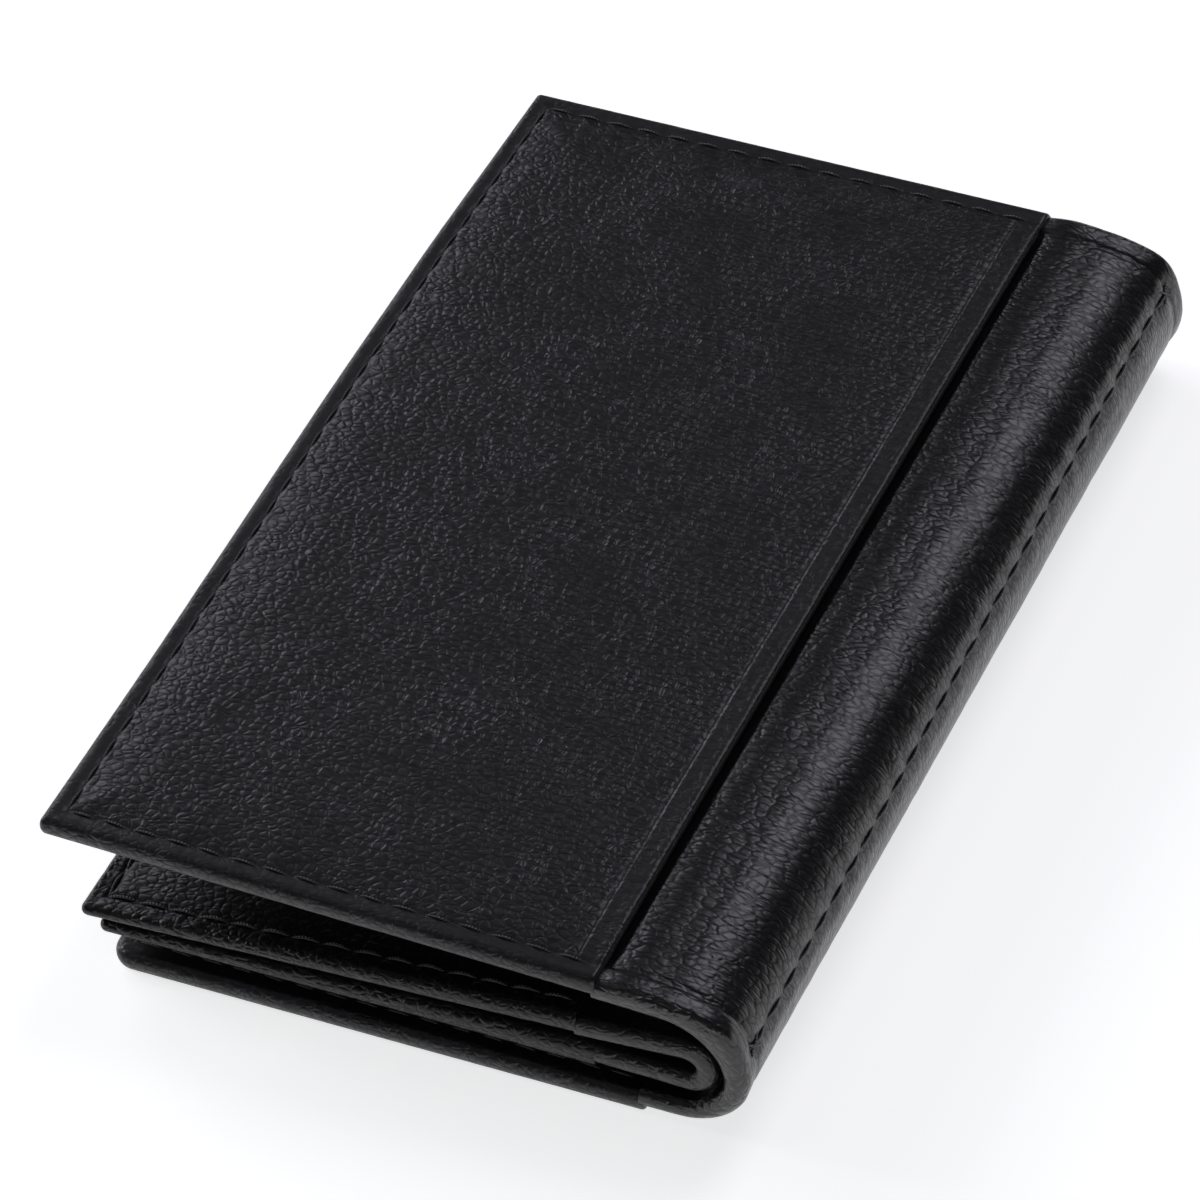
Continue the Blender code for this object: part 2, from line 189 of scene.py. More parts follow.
def noise(x, y, seed):
    """Smooth noise between -1 and 1 with features of size 1."""
    xi, yi = np.floor(x).astype(np.int64), np.floor(y).astype(np.int64)
    u, v = x - xi, y - yi
    u, v = u * u * u * (u * (u * 6 - 15) + 10), v * v * v * (v * (v * 6 - 15) + 10)

    def corner(i, j):
        n = ((xi + i) * 374761393 + (yi + j) * 668265263 + seed * 974711) & 0xFFFFFFFF
        n = ((n ^ (n >> 13)) * 1274126177) & 0xFFFFFFFF
        return ((n ^ (n >> 16)) & 0xFFFF) / 32767.5 - 1

    low = corner(0, 0) * (1 - u) + corner(1, 0) * u
    high = corner(0, 1) * (1 - u) + corner(1, 1) * u
    return low * (1 - v) + high * v


UNEVEN = ((0.045, 13.0), (0.022, 4.5), (0.012, 1.4))  # height and length of a panel's waves


def relief(s, y, seed):
    """Slow unevenness of a leather panel."""
    return sum(high * noise(s / long, y / long, seed + k) for k, (high, long) in enumerate(UNEVEN))


def bell(distance, width):
    """1 at distance 0, falling to almost nothing at twice the width."""
    return np.exp(-(distance / width) ** 2)


def ridge(distance, at, width, height):
    """A ridge of this height at a distance from an edge, or a groove where the height is negative."""
    return height * bell(distance - at, width)


def needle_holes(turns):
    """1 at a needle hole, 0 halfway between two; one turn is one stitch."""
    return 0.5 + 0.5 * np.cos(math.tau * turns)


def even_stitches(length, pitch=PITCH):
    """How many stitches fit a row, and their exact pitch."""
    count = round(length / pitch)
    return count, length / count


def sides(y, half):
    """1 in the middle of the wallet's length, 0 at both ends."""
    return 1 - (y / half) ** 4


def roll(d, radius):
    """How far a rounded edge drops at distance d inside it."""
    inside = np.clip(radius - d, 0, radius)
    return radius - np.sqrt(radius * radius - inside * inside)


def ramp(x, low, high):
    """0 below low, 1 above high, smooth between."""
    t = np.clip((x - low) / (high - low), 0, 1)
    return t * t * (3 - 2 * t)


# ---- sheets

# Grid lines next to a rounded edge: close on the roll, then by the stitch line and the hem's end
EDGE_LINES = [0, 0.02, 0.07, 0.15, 0.26, 0.4, 0.57, 0.76, 0.97, 1.2, 1.45]
EDGE_LINES += [1.6, 1.75, 1.9, 2.05, 2.2, 2.4, 2.56, 2.64, 2.9]


def lines(low, high, step, fine_low, fine_high):
    """Grid positions, crowded towards the ends that are rounded."""
    start = EDGE_LINES if fine_low else [0.0]
    stop = EDGE_LINES if fine_high else [0.0]
    a, b = low + start[-1], high - stop[-1]
    middle = np.linspace(a, b, max(2, int(round((b - a) / step)) + 1))
    return np.concatenate([[low + v for v in start[:-1]], middle, [high - v for v in reversed(stop[:-1])]])


def rounded_corner(e, f, radius):
    """Moves grid points near a square corner onto a rounded one: new e and f, and the depth d inside."""
    p, q = np.clip((radius - e) / radius, 0, 1), np.clip((radius - f) / radius, 0, 1)
    both = (p > 0) & (q > 0)
    p2, q2 = p * np.sqrt(1 - q * q / 2), q * np.sqrt(1 - p * p / 2)
    inside = np.where(both, radius * (1 - np.hypot(p2, q2)), np.minimum(e, f))
    return np.where(both, radius * (1 - p2), e), np.where(both, radius * (1 - q2), f), inside


def in_scene(name, data):
    """A new object in the scene."""
    obj = bpy.data.objects.new(name, data)
    bpy.context.scene.collection.objects.link(obj)
    return obj


def add_mesh(name, verts, faces, grain, look, amount=None):
    """Object from points in mm.

    grain holds the place of each vertex on the flat leather, amount how strong the grain is there."""
    mesh = bpy.data.meshes.new(name)
    mesh.from_pydata((verts * MM).tolist(), [], faces.tolist())
    if amount is None:
        amount = np.ones(len(verts))
    for title, kind, field, values in (
        ("grain_at", "FLOAT_VECTOR", "vector", grain),
        ("grain_amount", "FLOAT", "value", amount),
    ):
        stored = mesh.attributes.new(title, kind, "POINT")
        stored.data.foreach_set(field, values.astype(np.float32).ravel())
    mesh.materials.append(look)
    mesh.shade_smooth()
    mesh.set_sharp_from_angle(angle=SHARP)
    return in_scene(name, mesh)


def outward(verts, faces):
    """The faces, turned so that the closed mesh has a positive volume."""
    a, b, c, d = (verts[faces[:, k]] for k in range(4))
    volume = np.einsum("ij,ij->", a, np.cross(b, c)) + np.einsum("ij,ij->", a, np.cross(c, d))
    return faces if volume > 0 else faces[:, ::-1]


def slab(name, outer, inner, s, y, heights, look, offset, amount=None):
    """A closed sheet between two grids of points (n, m, 3).

    heights are the outer and inner heights over the sheet's line; amount is how strong the grain is."""
    n, m = s.shape
    verts = np.concatenate([outer.reshape(-1, 3), inner.reshape(-1, 3)])
    index = np.arange(n * m).reshape(n, m)
    quad = np.stack([index[:-1, :-1], index[1:, :-1], index[1:, 1:], index[:-1, 1:]], -1).reshape(-1, 4)
    loop = np.concatenate([index[0, :-1], index[:-1, -1], index[-1, :0:-1], index[:0:-1, 0]])
    after = np.roll(loop, -1)
    rim = np.stack([loop, after, after + n * m, loop + n * m], -1)
    faces = np.concatenate([quad, quad[:, ::-1] + n * m, rim])
    top, under = (np.stack([s, y, -h], -1).reshape(-1, 3) for h in heights)
    grain = np.concatenate([top, under]) + np.array(offset)
    if amount is not None:
        amount = np.concatenate([amount.ravel(), amount.ravel()])
    return add_mesh(name, verts, outward(verts, faces), grain, look, amount)


def on_path(path, s, y, h):
    """Points (x, y, z) at a height over a section line."""
    x, z = path.at(s, h)
    return np.stack([x, y, z], -1)


def sheet_on(path, name, s, y, heights, look, offset, amount=None, width=1.0):
    """A closed sheet along a section line, narrower where width is below 1."""
    outer, inner = (on_path(path, s, y * width, h) for h in heights)
    return slab(name, outer, inner, s, y, heights, look, offset, amount)


# ---- materials

class Nodes:
    """Short hand for building one material's node tree."""

    def __init__(self, name):
        self.material = bpy.data.materials.new(name)
        self.material.use_nodes = True
        self.tree = self.material.node_tree
        self.surface = self.tree.nodes["Principled BSDF"]

    def add(self, kind, **settings):
        node = self.tree.nodes.new(kind)
        for key, value in settings.items():
            setattr(node, key, value)
        return node

    def feed(self, socket, value):
        """Links a socket to the input, or sets a plain value."""
        if isinstance(value, bpy.types.NodeSocket):
            self.tree.links.new(value, socket)
        elif value is not None:
            socket.default_value = value

    def stored(self, name, output):
        """A value kept on the mesh's vertices."""
        node = self.add("ShaderNodeAttribute", attribute_type="GEOMETRY", attribute_name=name)
        return node.outputs[output]

    def split(self, value):
        """The x and y parts of a vector."""
        node = self.add("ShaderNodeSeparateXYZ")
        self.feed(node.inputs[0], value)
        return node.outputs[0], node.outputs[1]

    def maths(self, operation, a, b=None, c=None):
        node = self.add("ShaderNodeMath", operation=operation)
        for socket, value in zip(node.inputs, (a, b, c)):
            self.feed(socket, value)
        return node.outputs[0]

    def times(self, a, b, plus=None):
        """a * b, or a * b + plus."""
        return self.maths("MULTIPLY" if plus is None else "MULTIPLY_ADD", a, b, plus)

    def minus(self, a, b):
        return self.maths("SUBTRACT", a, b)

    def apart(self, a, b):
        return self.maths("ABSOLUTE", self.minus(a, b))

    def vector(self, operation, a, b=None):
        node = self.add("ShaderNodeVectorMath", operation=operation)
        for socket, value in zip(node.inputs, (a, b)):
            self.feed(socket, value)
        return node.outputs[0]

    def noise(self, where, scale, detail=2.0, roughness=0.5, colour=False):
        node = self.add("ShaderNodeTexNoise")
        self.feed(node.inputs["Vector"], where)
        node.inputs["Scale"].default_value = scale
        node.inputs["Detail"].default_value = detail
        node.inputs["Roughness"].default_value = roughness
        return node.outputs["Color" if colour else "Fac"]

    def cells(self, where, scale, feature="F1"):
        node = self.add("ShaderNodeTexVoronoi", feature=feature)
        self.feed(node.inputs["Vector"], where)
        node.inputs["Scale"].default_value = scale
        return node.outputs["Distance"]

    def remap(self, value, from_low, from_high, to_low=0.0, to_high=1.0):
        """A smooth step from one range to another."""
        node = self.add("ShaderNodeMapRange", interpolation_type="SMOOTHSTEP")
        for socket, given in zip(node.inputs, (value, from_low, from_high, to_low, to_high)):
            self.feed(socket, given)
        return node.outputs[0]

    def mix(self, share, a, b):
        """Colour a where the share is 0, colour b where it is 1."""
        node = self.add("ShaderNodeMix", data_type="RGBA")
        self.feed(node.inputs[0], share)
        # The inputs and the output of the node's colour mode
        self.feed(node.inputs[6], (*a, 1))
        self.feed(node.inputs[7], (*b, 1))
        return node.outputs[2]

    def finish(self, colour, roughness, height, depth_mm):
        """Connects the surface; a height of 1 stands depth_mm over a height of 0."""
        bump = self.add("ShaderNodeBump")
        bump.inputs["Distance"].default_value = depth_mm * MM
        self.feed(bump.inputs["Height"], height)
        self.feed(self.surface.inputs["Base Color"], colour)
        self.feed(self.surface.inputs["Roughness"], roughness)
        self.feed(self.surface.inputs["Normal"], bump.outputs["Normal"])
        return self.material


CREASE_SWING = 5.0  # how far a long crease may wander
CREASE_FADE = 3.0  # it fades over this much each side of its ends
CREASE_HALF = 0.16  # half its width


def crease_line(t, place, start, end, swing):
    """1 along a faint crease between two places on the leather, 0 away from it."""
    run, y = t.split(place)
    slope = (end[1] - start[1]) / (end[0] - start[0])
    line = t.times(run, slope, start[1] - slope * start[0])
    line = t.times(t.minus(swing, 0.5), CREASE_SWING, line)
    away = t.apart(y, line)
    low, high = min(start[0], end[0]), max(start[0], end[0])
    begun = t.remap(run, low - CREASE_FADE, low + CREASE_FADE)
    not_ended = t.remap(run, high - CREASE_FADE, high + CREASE_FADE, 1.0, 0.0)
    within = t.times(begun, not_ended)
    return t.times(t.remap(away, 0.0, CREASE_HALF, 1.0, 0.0), within)


# Shares of the bump's height: fine cells, cell groups, domed cells, pores
FINE_SHARE, GROUP_SHARE, DOME_SHARE, PORE_SHARE = 0.40, 0.32, 0.28, 0.06
GROUP_SCALE = 0.42  # groups of cells are larger than cells by 1 / GROUP_SCALE
GROUP_LENGTH = 0.76  # and longer across the wallet
MARK_DEPTH = 0.5  # depth of a long crease, in shares of the bump's height
UNEVEN_GLOSS = 0.16  # roughness changes by this much from place to place


def leather(
    name, dark, light, rough, grain_mm, depth, long_cells=0.72, wrinkle=0.0, swirl_mm=0.6,
    specular=0.5, lines_at=(),
):
    """Black pebbled leather: rounded grain cells, creases between them, finer wrinkles and pores.

    dark is the colour of the cells and light the lighter colour of the creases, a painted highlight for the light
    that the crease slopes catch; grain_mm the size of a cell and depth the height of the grain.  long_cells below
    1 draws the cells out across the wallet, swirl_mm bends their rows, wrinkle adds folds across the spine and
    lines_at lists long creases."""
    t = Nodes(name)
    place = t.stored("grain_at", "Vector")
    amount = t.stored("grain_amount", "Fac")
    swirl = t.vector("SUBTRACT", t.noise(place, 0.55, 1.5, 0.5, colour=True), (0.5, 0.5, 0.5))
    bent = t.vector("ADD", place, t.vector("MULTIPLY", swirl, (swirl_mm,) * 3))
    scale = 1.0 / grain_mm
    # Cells, groups of cells and the dome of each cell
    drawn_out = t.vector("MULTIPLY", bent, (long_cells, 1.0, 1.0))
    edge_distance = t.cells(drawn_out, scale, "DISTANCE_TO_EDGE")
    edge = t.remap(edge_distance, 0.0, 0.24)
    grouped = t.vector("MULTIPLY", bent, (long_cells * GROUP_LENGTH, 1.0, 1.0))
    group_distance = t.cells(grouped, scale * GROUP_SCALE, "DISTANCE_TO_EDGE")
    group = t.remap(group_distance, 0.0, 0.10)
    dome = t.remap(t.cells(drawn_out, scale), 0.0, 0.8, 1.0, 0.0)
    pores = t.noise(place, 4.0, 3.0, 0.65)
    # Creases are a little stronger in some patches than in others
    patch = t.remap(t.noise(place, 0.12, 3.0, 0.6), 0.35, 0.65, 0.45, 1.0)
    height = t.times(t.times(edge, patch), FINE_SHARE)
    height = t.times(t.times(group, patch), GROUP_SHARE, height)
    height = t.times(dome, DOME_SHARE, height)
    if wrinkle:
        folds = t.noise(t.vector("MULTIPLY", bent, (0.25, 1.15, 1.0)), 1.0, 2.0, 0.5)
        fold = t.remap(t.apart(folds, 0.5), 0.0, 0.09)
        height = t.times(fold, wrinkle, height)
    # How far a place is down a crease, for its colour: creases get the lighter colour, a painted highlight
    crease = t.times(t.remap(edge_distance, 0.0, 0.12, 0.6, 0.0), patch)
    between = t.times(t.remap(group_distance, 0.0, 0.05, 0.9, 0.0), patch)
    crease = t.maths("MAXIMUM", crease, between)
    swing = t.noise(place, 0.13, 2.0, 0.6)
    # Long creases: shallow grooves that also get the lighter colour, a painted highlight
    for start, end in lines_at:
        mark = crease_line(t, place, start, end, swing)
        crease = t.maths("MAXIMUM", crease, t.times(mark, 0.9))
        height = t.times(mark, -MARK_DEPTH, height)
    height = t.times(height, amount)
    height = t.times(pores, PORE_SHARE, height)
    colour = t.mix(t.times(crease, amount), dark, light)
    gloss = t.noise(place, 1.3, 3.0, 0.6)
    roughness = t.times(gloss, UNEVEN_GLOSS, rough - UNEVEN_GLOSS / 2)
    # Less shine deep in the creases, but only where the leather lies flat and is grained
    flat = t.minus(1.0, t.apart(amount, 1.0))
    cavity = t.times(t.remap(edge_distance, 0.0, 0.16, 0.5, 0.0), flat)
    shine = t.times(t.minus(1.0, cavity), specular)
    t.feed(t.surface.inputs["Specular IOR Level"], shine)
    return t.finish(colour, roughness, height, depth)


THREAD_DARK, THREAD_LIGHT = (0.011, 0.011, 0.013), (0.040, 0.040, 0.045)
PLIES_PER_MM = 2.6


def thread_look(name):
    """Twisted waxed thread."""
    t = Nodes(name)
    place = t.stored("grain_at", "Vector")
    length, turn = t.split(place)
    ply = t.maths("SINE", t.times(t.times(length, PLIES_PER_MM, turn), math.tau))
    fuzz = t.noise(place, 9.0, 2.0, 0.6)
    colour = t.mix(fuzz, THREAD_DARK, THREAD_LIGHT)
    height = t.times(fuzz, 0.4, ply)
    return t.finish(colour, t.remap(fuzz, 0.3, 0.7, 0.32, 0.48), height, 0.03)


FIBRE_SCALE = (900, 2600, 900)  # fibres run across the board
BOARD_DARK, BOARD_LIGHT = (0.05, 0.048, 0.045), (0.13, 0.125, 0.12)


def board_look(name):
    """Grey fibre board inside the covers."""
    t = Nodes(name)
    place = t.add("ShaderNodeTexCoord").outputs["Object"]
    fibres = t.noise(t.vector("MULTIPLY", place, FIBRE_SCALE), 1.0, 4.0, 0.6)
    return t.finish(t.mix(fibres, BOARD_DARK, BOARD_LIGHT), 0.85, fibres, 0.04)


# Faint creases on the front cover, as places (run from the spine, along the wallet); they are drawn in the lighter
# crease colour, a painted highlight
FRONT_CREASES = (((60.0, -23.8), (18.0, -28.2)), ((40.0, 25.0), (14.0, 20.6)))
OUTER = leather(
    "black_leather_cover", (0.0042, 0.0042, 0.0053), (0.027, 0.027, 0.033), 0.37,
    grain_mm=0.74, depth=0.088, specular=0.48, lines_at=FRONT_CREASES,
)
SPINE_LOOK = leather(
    "black_leather_spine", (0.0045, 0.0045, 0.0056), (0.010, 0.010, 0.012), 0.31,
    grain_mm=0.68, depth=0.052, long_cells=0.55, wrinkle=0.25, swirl_mm=0.4, specular=0.66,
)
# The leaves' leather is darker than the cover's, cells and creases alike: painted shade of the covers over the
# leaves
SHADED_LEAF_LOOK = leather(
    "black_leather_leaf_painted_shade", (0.002, 0.002, 0.0025), (0.007, 0.007, 0.0085), 0.34,
    grain_mm=0.72, depth=0.08, specular=0.33,
)
FOLD_LOOK = leather(
    "black_leather_fold", (0.004, 0.004, 0.0047), (0.009, 0.009, 0.0105), 0.34,
    grain_mm=0.7, depth=0.05, wrinkle=0.3,
)
LINING_LOOK = leather(
    "black_lining_leather", (0.006, 0.006, 0.0068), (0.010, 0.010, 0.0115), 0.5,
    grain_mm=0.55, depth=0.03,
)
THREAD_LOOK = thread_look("black_waxed_thread")
BOARD_LOOK = board_look("grey_fibre_board")


# ---- covers

class Pocket:
    """Slip pocket on a cover: its leather is turned over three edges, its open edge faces the spine.

    seam and edge are how far its open and free edges are from the spine's arc, way is 1 on the front cover
    and -1 on the back cover, corner is the radius of its corners and bulge how far its free edge bulges."""

    FIRST_HOLE = 1.3  # first needle hole of the end rows, from the open edge

    def __init__(self, seam, edge, way, seed, corner, bulge):
        self.seam, self.edge, self.way, self.seed = seam, edge, way, seed
        self.corner, self.bulge = corner, bulge
        self.first = seam + self.FIRST_HOLE
        self.last = edge - INSET
        self.rows, self.holes = even_stitches(self.last - self.first)
        self.side_rows, self.side_holes = even_stitches(2 * (HALF - INSET))

    def needle(self, run, y, e, f):
        """1 at a needle hole, 0 halfway between two."""
        along_end = (run - self.first) / self.holes
        along_side = (y + HALF - INSET) / self.side_holes
        return needle_holes(np.where(e < f, along_side, along_end))

    def outer(self, run, y, e, f, d):
        """Height of the outside face."""
        a = run - self.seam
        hole = self.needle(run, y, e, f)
        # rolled edge, then the stitch line's dents
        h = POCKET - roll(1.5 * d, COVER_ROLL)
        h += ridge(d, 1.1, 0.5, 0.05)
        stitched = ramp(a, 0.3, 1.4)
        h -= (0.035 + 0.045 * hole) * bell(d - INSET, 0.28) * stitched
        h -= 0.05 * hole * bell(d - INSET - 0.9, 0.9) * stitched
        # the panel rises from the seams and is fullest in the middle
        puff = 1 - np.exp(-np.maximum(d - INSET, 0) / 3.6)
        h += 0.42 * puff * (0.35 + 0.65 * ramp(a, 1.0, 10.0))
        across = np.clip(e / (self.edge - self.seam), 0, 1)
        h += 1.3 * across * (1 - across) * sides(y, HALF)
        # open edge: folded leather, creased a little way in, standing off the cover in the middle
        h -= roll(a, 0.42)
        open_part = ramp(d, 2.2, 3.0)
        h += ridge(a, 2.75, 0.16, -0.10) * open_part
        h += ridge(a, 3.1, 0.22, 0.05) * open_part
        h += ridge(a, 0.7, 0.5, 0.05) * open_part
        h += 0.30 * np.exp(-a / 7) * sides(y, HALF)
        # unevenness of the panel and of its rolled edge
        h += relief(run, y, self.seed) * ramp(d, 0.6, 3.0) * ramp(a, 1.5, 4.0)
        h += 0.05 * noise(run / 7, y / 7, self.seed + 5) * ramp(d, 3, 8)
        h += 0.02 * noise(run / 1.2, y / 1.2, self.seed + 6) * bell(d - 0.8, 0.8)
        # the wallet lies on its back, which is pressed flat
        return h if self.way > 0 else np.minimum(h, POCKET)

    def inner(self, run, y, e, f, d):
        """Height of the inside face: the turned hem, and the panel's inside between the hems."""
        a = run - self.seam
        panel = 0.1 + 0.26 * np.exp(-a / 7) * sides(y, HALF) * ramp(d, 2.6, 6)
        hem = -COVER + roll(d, COVER_ROLL) + 0.03 * noise(run / 3, y / 3, self.seed + 7)
        return np.where(d < HEM, hem, panel)

    def grain_amount(self, a, d):
        """The turned edges are pressed nearly smooth, and the leather crinkles on the roll."""
        by_outline = 0.30 + 0.70 * ramp(d, 1.9, 2.8) + 0.6 * (1 - ramp(d, 0.4, 1.2))
        return by_outline * (0.55 + 0.45 * ramp(a, 2.6, 3.4))

    def drift(self, run, y):
        """How far the free edge wanders from a straight line."""
        sway = 0.10 * noise(y / 17, np.full_like(run, 3.3), self.seed + 11)
        return (sway + self.bulge * bell(y - 17, 34)) * ramp(run, self.seam + 10, self.edge)

    def grid(self):
        run = lines(self.seam, self.edge, GRID, True, True)
        y = lines(-HALF, HALF, GRID, True, True)
        run, y = np.meshgrid(run, y, indexing="ij")
        e, f, d = rounded_corner(self.edge - run, HALF - np.abs(y), self.corner)
        return self.edge - e, np.sign(y) * (HALF - f), e, f, d

    def make(self, name):
        run, y, e, f, d = self.grid()
        s = self.to_s(run + self.drift(run, y))
        heights = self.outer(run, y, e, f, d), self.inner(run, y, e, f, d)
        amount = self.grain_amount(run - self.seam, d)
        return sheet_on(SHELL, name, s, y, heights, OUTER, (0, 0, 0), amount)

    def to_s(self, run):
        """Distance along the shell of a distance from the spine's arc."""
        return run if self.way > 0 else -ARC - run

    def segments(self):
        """Stitches as pairs of needle holes (run, y)."""
        ends = [self.first + i * self.holes for i in range(self.rows + 1)]
        return three_rows(ends, self.last, HALF - INSET, self.side_rows, self.side_holes)


RINGS, AROUND = 9, 8  # points along a stitch and round its thread
SUNK = 0.22  # a stitch's ends are this deep in their needle holes
SLANT = 0.06  # a stitch's ends are this far off its row
FLATTENED = 0.85  # height of the thread over its width
ANGLES = np.arange(AROUND) * math.tau / AROUND


def tube_faces(base):
    """Four-cornered faces of a tube whose points start at base, with both ends closed."""
    faces = []
    for k in range(RINGS - 1):
        low, high = base + k * AROUND, base + (k + 1) * AROUND
        for i in range(AROUND):
            j = (i + 1) % AROUND
            faces.append((low + i, low + j, high + j, high + i))
    for first in (base, base + (RINGS - 1) * AROUND):
        caps = [[first + i for i in corners] for corners in ((0, 1, 2, 3), (0, 3, 4, 7), (4, 5, 6, 7))]
        faces.extend(tuple(c) if first != base else tuple(c[::-1]) for c in caps)
    return faces


def stitch_tubes(name, segments, place, radius=0.125, rise=0.09):
    """Thread that comes up at one needle hole and goes down at the next, one tube per stitch.

    place(a, b, lift) gives points; segments are ((a, b), (a, b)) pairs of needle holes."""
    t = np.linspace(0, 1, RINGS)
    lift = -SUNK + (SUNK + rise) * np.sin(math.pi * np.clip(t, 0.02, 0.98)) ** 0.6
    width = radius * (0.55 + 0.45 * np.sin(math.pi * t) ** 0.5)
    verts, faces, grain = [], [], []
    for number, (start, end) in enumerate(segments):
        wobble = 0.05 * math.sin(number * 2.399)
        start, end = np.array(start), np.array(end)
        along = (end - start) / np.linalg.norm(end - start)
        across = np.array([-along[1], along[0]])
        slant = (SLANT + wobble) * (2 * t - 1)
        flat = start + (end - start) * (0.04 + 0.92 * t)[:, None] + across * slant[:, None]
        centre = place(flat[:, 0], flat[:, 1], lift)
        up = place(flat[:, 0], flat[:, 1], lift + 1.0) - centre
        up /= np.linalg.norm(up, axis=1)[:, None]
        forward = np.gradient(centre, axis=0)
        forward /= np.linalg.norm(forward, axis=1)[:, None]
        side = np.cross(forward, up)
        faces += tube_faces(number * RINGS * AROUND)
        for k in range(RINGS):
            round_it = np.cos(ANGLES)[:, None] * side[k] + np.sin(ANGLES)[:, None] * up[k] * FLATTENED
            verts.append(centre[k] + width[k] * round_it)
            length, stitch = np.full(AROUND, t[k] * PITCH), np.full(AROUND, float(number))
            grain.append(np.stack([length, ANGLES / math.tau, stitch], -1))
    points = np.concatenate(verts)
    quads = np.array(faces)
    return add_mesh(name, points, outward(points, quads), np.concatenate(grain), THREAD_LOOK)


def rigid(obj, body, node):
    """Shows a piece that moves with one body, in place of a CAD node."""
    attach(obj, body)
    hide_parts(node)


def pairs(row):
    """Each needle hole with the next."""
    return list(zip(row[:-1], row[1:]))


def three_rows(ends, last, side, count, holes):
    """Stitches along the near end, the free edge and the far end of a pocket or a leaf."""
    near = [(run, -side) for run in ends]
    free = [(last, -side + i * holes) for i in range(count + 1)]
    far = [(run, side) for run in reversed(ends)]
    return [p for row in (near, free, far) for p in pairs(row)]


ON_FACE = 0.04  # the covers' thread lies this much over the leather


def cover_stitching(name, pocket, body, node):
    """The seam round a pocket, on the outside and on the turned hem inside the cover."""

    def outside(run, y, lift):
        e, f = pocket.edge - run, HALF - np.abs(y)
        h = pocket.outer(run, y, e, f, np.minimum(e, f)) + ON_FACE
        return on_path(SHELL, pocket.to_s(run + pocket.drift(run, y)), y, h + lift)

    def inside(run, y, lift):
        return on_path(SHELL, pocket.to_s(run + pocket.drift(run, y)), y, -COVER + ON_FACE - lift)

    for suffix, place in (("_outside", outside), ("_inside", inside)):
        thread = stitch_tubes(name + suffix, pocket.segments(), place)
        rigid(thread, body, node)


SKEW = 0.95  # the spine's seam drifts by this much at each end


def hem_depth(s):
    """Thickness of the shell's turned ends: fuller round the bend."""
    middle = (spine_s(FRONT_ANGLE) + spine_s(LOWER_ANGLE)) / 2
    return 2.1 + 0.45 * bell(s - middle, 7.0)


def fullness(s, f):
    """How far the soft spine stands out of a true arc: most at its turned ends."""
    end = bell(f, 4.0)
    top = (0.42 + 0.12 * end) * bell(s - 3.6, 3.2)
    shoulder = (0.22 + 0.40 * end) * bell(s - spine_s(math.radians(40.0)), 2.6)
    return top + shoulder


def shell_outer(s, y, f, seed=40):
    """The shell's face between the two pockets."""
    h = fullness(s, f) - roll(f, SHELL_ROLL)
    h += relief(s, y, seed) * ramp(f, 0.5, 3)
    seam = s - stitch_s(y)
    hole = needle_holes((y + SEAM_HALF) / SEAM_HOLES)
    sewn = ramp(f, 1.6, 2.6)
    h -= (0.10 + 0.04 * hole) * bell(seam, 0.42) * sewn
    h += 0.12 * (bell(seam - 1.4, 0.9) + bell(seam + 1.4, 0.9)) * sewn
    h -= 0.07 * hole * bell(np.abs(seam) - 0.9, 0.8) * sewn
    # shallow folds that run round the bend
    bend = bell(s + 7.5, 7.0)
    h += 0.05 * noise(s / 9, y / 1.7, seed + 9) * bend * ramp(f, 2, 6)
    # turned ends: a plump roll with a crease behind it
    h += (0.10 + 0.04 * noise(s / 1.3, y, seed + 12)) * bell(f - 1.2, 0.9)
    h += ridge(f, 2.9, 0.35, -0.17)
    # the leather dips under the pocket's open edge
    for pocket_seam, side in ((FRONT_SEAM, 1), (-ARC - BACK_SEAM, -1)):
        away = np.maximum((pocket_seam - s) * side, 0)
        h -= (0.22 * (1 - ramp(away, 0.0, 0.9)) + 0.22 * np.exp(-away / 4)) * ramp(f, 2.2, 4.0)
    return h


SEAM_HALF = HALF - 2.4  # half the length of the spine's seam
SEAM_ROWS, SEAM_HOLES = even_stitches(2 * SEAM_HALF, SEAM_PITCH)


def stitch_s(y):
    """The spine's seam, as a distance along the shell."""
    return spine_s(STITCH_ANGLE) + SKEW * y / HALF


BETWEEN_HEMS = 0.25  # the leather under a pocket stays this far off the turned hems
UNDER = -0.6  # inside face of the shell's leather
TONGUE_TOP, TONGUE_UNDER = -0.02, -0.55  # the faces of its part under a pocket


def shell_piece(name, low, high, tongue):
    """Shell leather from s = low to high; tongue is the side on which it runs on under a pocket."""
    parts = [np.linspace(low, high, max(2, int((high - low) / 0.3)))]
    if tongue > 0:
        parts += [[high + 0.15], np.arange(high + 1, FRONT_EDGE - HEM - 0.4, 2.0)]
    if tongue < 0:
        parts = [np.arange(-ARC - BACK_EDGE + HEM + 0.4, low - 1, 2.0), [low - 0.15]] + parts
    s, y = np.meshgrid(np.concatenate(parts), lines(-HALF, HALF, GRID, True, True), indexing="ij")
    f = HALF - np.abs(y)
    beyond = (s > high + 0.1) | (s < low - 0.1)
    width = np.where(beyond, (HALF - HEM - BETWEEN_HEMS) / HALF, 1.0)
    # the piece's edge at the spine's seam follows the slightly slanting stitches
    shift = SKEW * y / HALF * bell(s - spine_s(STITCH_ANGLE), 2.5)
    s = s + shift
    outer_h = np.where(beyond, TONGUE_TOP, shell_outer(s, y, f))
    hem_h = -hem_depth(s) + roll(f, SHELL_ROLL)
    inner_h = np.where(beyond, TONGUE_UNDER, np.where(f < HEM, hem_h, UNDER))
    amount = 0.75 + 0.25 * ramp(f, 2.0, 3.4) + 0.9 * (1 - ramp(f, 0.5, 1.3))
    return sheet_on(SHELL, name, s, y, (outer_h, inner_h), SPINE_LOOK, (0, 0, 0), amount, width)


LINING_GAP = 0.15  # between the lining and the turned hems
LINING_TOP, LINING_UNDER = -1.1, -1.5
LINING_PLACE = (0, 300, 0)  # where the lining's grain is cut from


